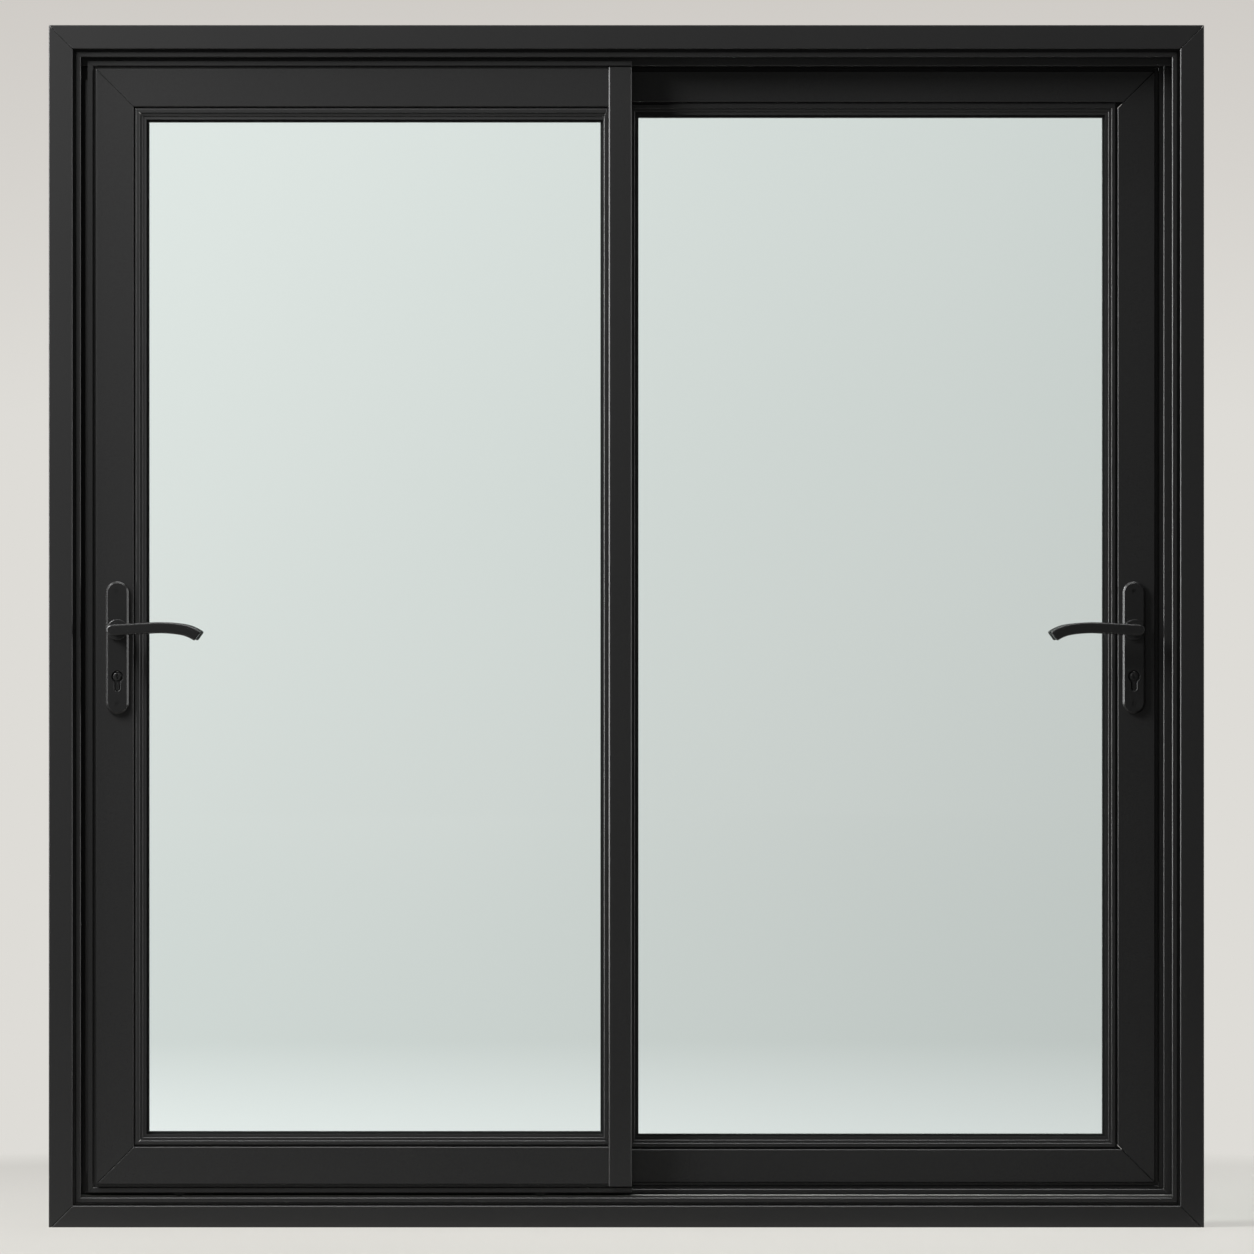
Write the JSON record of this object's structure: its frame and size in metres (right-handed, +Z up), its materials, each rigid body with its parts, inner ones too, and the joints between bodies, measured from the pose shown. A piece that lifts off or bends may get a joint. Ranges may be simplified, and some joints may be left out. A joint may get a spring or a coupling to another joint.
{
  "type": "double sliding patio door",
  "caption": "Two-track sliding patio door: black metal frame, glazed front and rear panels that slide past each other, lever handles and keyed locks.",
  "frame": {"origin": "middle of the frame's underside, half way through its depth", "axes": "+X to the right seen from the front, +Y from front to back, +Z up"},
  "size_m": [2.018, 0.204, 2.1],
  "materials": {
    "black_powder_coat": "satin",
    "black_handle": "satin",
    "stainless_steel": "brushed",
    "zinc_plated_steel": "satin",
    "clear_glass": "gloss",
    "black_rubber": "matte",
    "black_spacer": "matte",
    "nylon_wheel": "matte"
  },
  "bodies": {
    "frame": {"head": "black_powder_coat", "sill": "black_powder_coat", "left_jamb": "black_powder_coat", "right_jamb": "black_powder_coat", "front_sill_rail": "stainless_steel", "rear_sill_rail": "stainless_steel", "front_head_guide": "black_powder_coat", "rear_head_guide": "black_powder_coat", "left_lock_keep": "stainless_steel", "right_lock_keep": "stainless_steel"},
    "front_panel": {"front_lock_stile": "black_powder_coat", "front_interlock_stile": "black_powder_coat", "front_top_rail": "black_powder_coat", "front_bottom_rail": "black_powder_coat", "front_glazing_beads": "black_powder_coat", "front_glazing_gaskets": "black_rubber", "front_glass_panes": "clear_glass", "front_glass_spacer": "black_spacer", "front_rollers": "nylon_wheel", "front_roller_carriages": "zinc_plated_steel", "front_lock_faceplate": "stainless_steel", "front_handle_plates": "black_handle", "front_lock_cylinder": "black_handle"},
    "front_lever_set": {"front_outside_lever": "black_handle", "front_inside_lever": "black_handle", "front_lever_spindle": "zinc_plated_steel"},
    "front_key": {"front_key_plug": "black_handle"},
    "rear_panel": {"rear_lock_stile": "black_powder_coat", "rear_interlock_stile": "black_powder_coat", "rear_top_rail": "black_powder_coat", "rear_bottom_rail": "black_powder_coat", "rear_glazing_beads": "black_powder_coat", "rear_glazing_gaskets": "black_rubber", "rear_glass_panes": "clear_glass", "rear_glass_spacer": "black_spacer", "rear_rollers": "nylon_wheel", "rear_roller_carriages": "zinc_plated_steel", "rear_lock_faceplate": "stainless_steel", "rear_handle_plates": "black_handle", "rear_lock_cylinder": "black_handle"},
    "rear_lever_set": {"rear_outside_lever": "black_handle", "rear_inside_lever": "black_handle", "rear_lever_spindle": "zinc_plated_steel"},
    "rear_key": {"rear_key_plug": "black_handle"}
  },
  "joints": [
    {"name": "front_panel_slide", "type": "slide", "parent": "frame", "child": "front_panel", "axis": [1, 0, 0], "range_m": [0, 0.7]},
    {"name": "front_lever_turn", "type": "hinge", "parent": "front_panel", "child": "front_lever_set", "pos_m": [-0.8896, -0.027, 1.044], "axis": [0, 1, 0], "range_deg": [0, 45], "stiffness_Nm_per_rad": 1.2, "springref_deg": -34.38},
    {"name": "front_key_turn", "type": "hinge", "parent": "front_panel", "child": "front_key", "pos_m": [-0.8896, -0.027, 0.962], "axis": [0, 1, 0], "continuous": true},
    {"name": "rear_panel_slide", "type": "slide", "parent": "frame", "child": "rear_panel", "axis": [1, 0, 0], "range_m": [-0.7, 0]},
    {"name": "rear_lever_turn", "type": "hinge", "parent": "rear_panel", "child": "rear_lever_set", "pos_m": [0.8896, 0.027, 1.044], "axis": [0, -1, 0], "range_deg": [0, 45], "stiffness_Nm_per_rad": 1.2, "springref_deg": -34.38},
    {"name": "rear_key_turn", "type": "hinge", "parent": "rear_panel", "child": "rear_key", "pos_m": [0.8896, 0.027, 0.962], "axis": [0, 1, 0], "continuous": true}
  ]
}
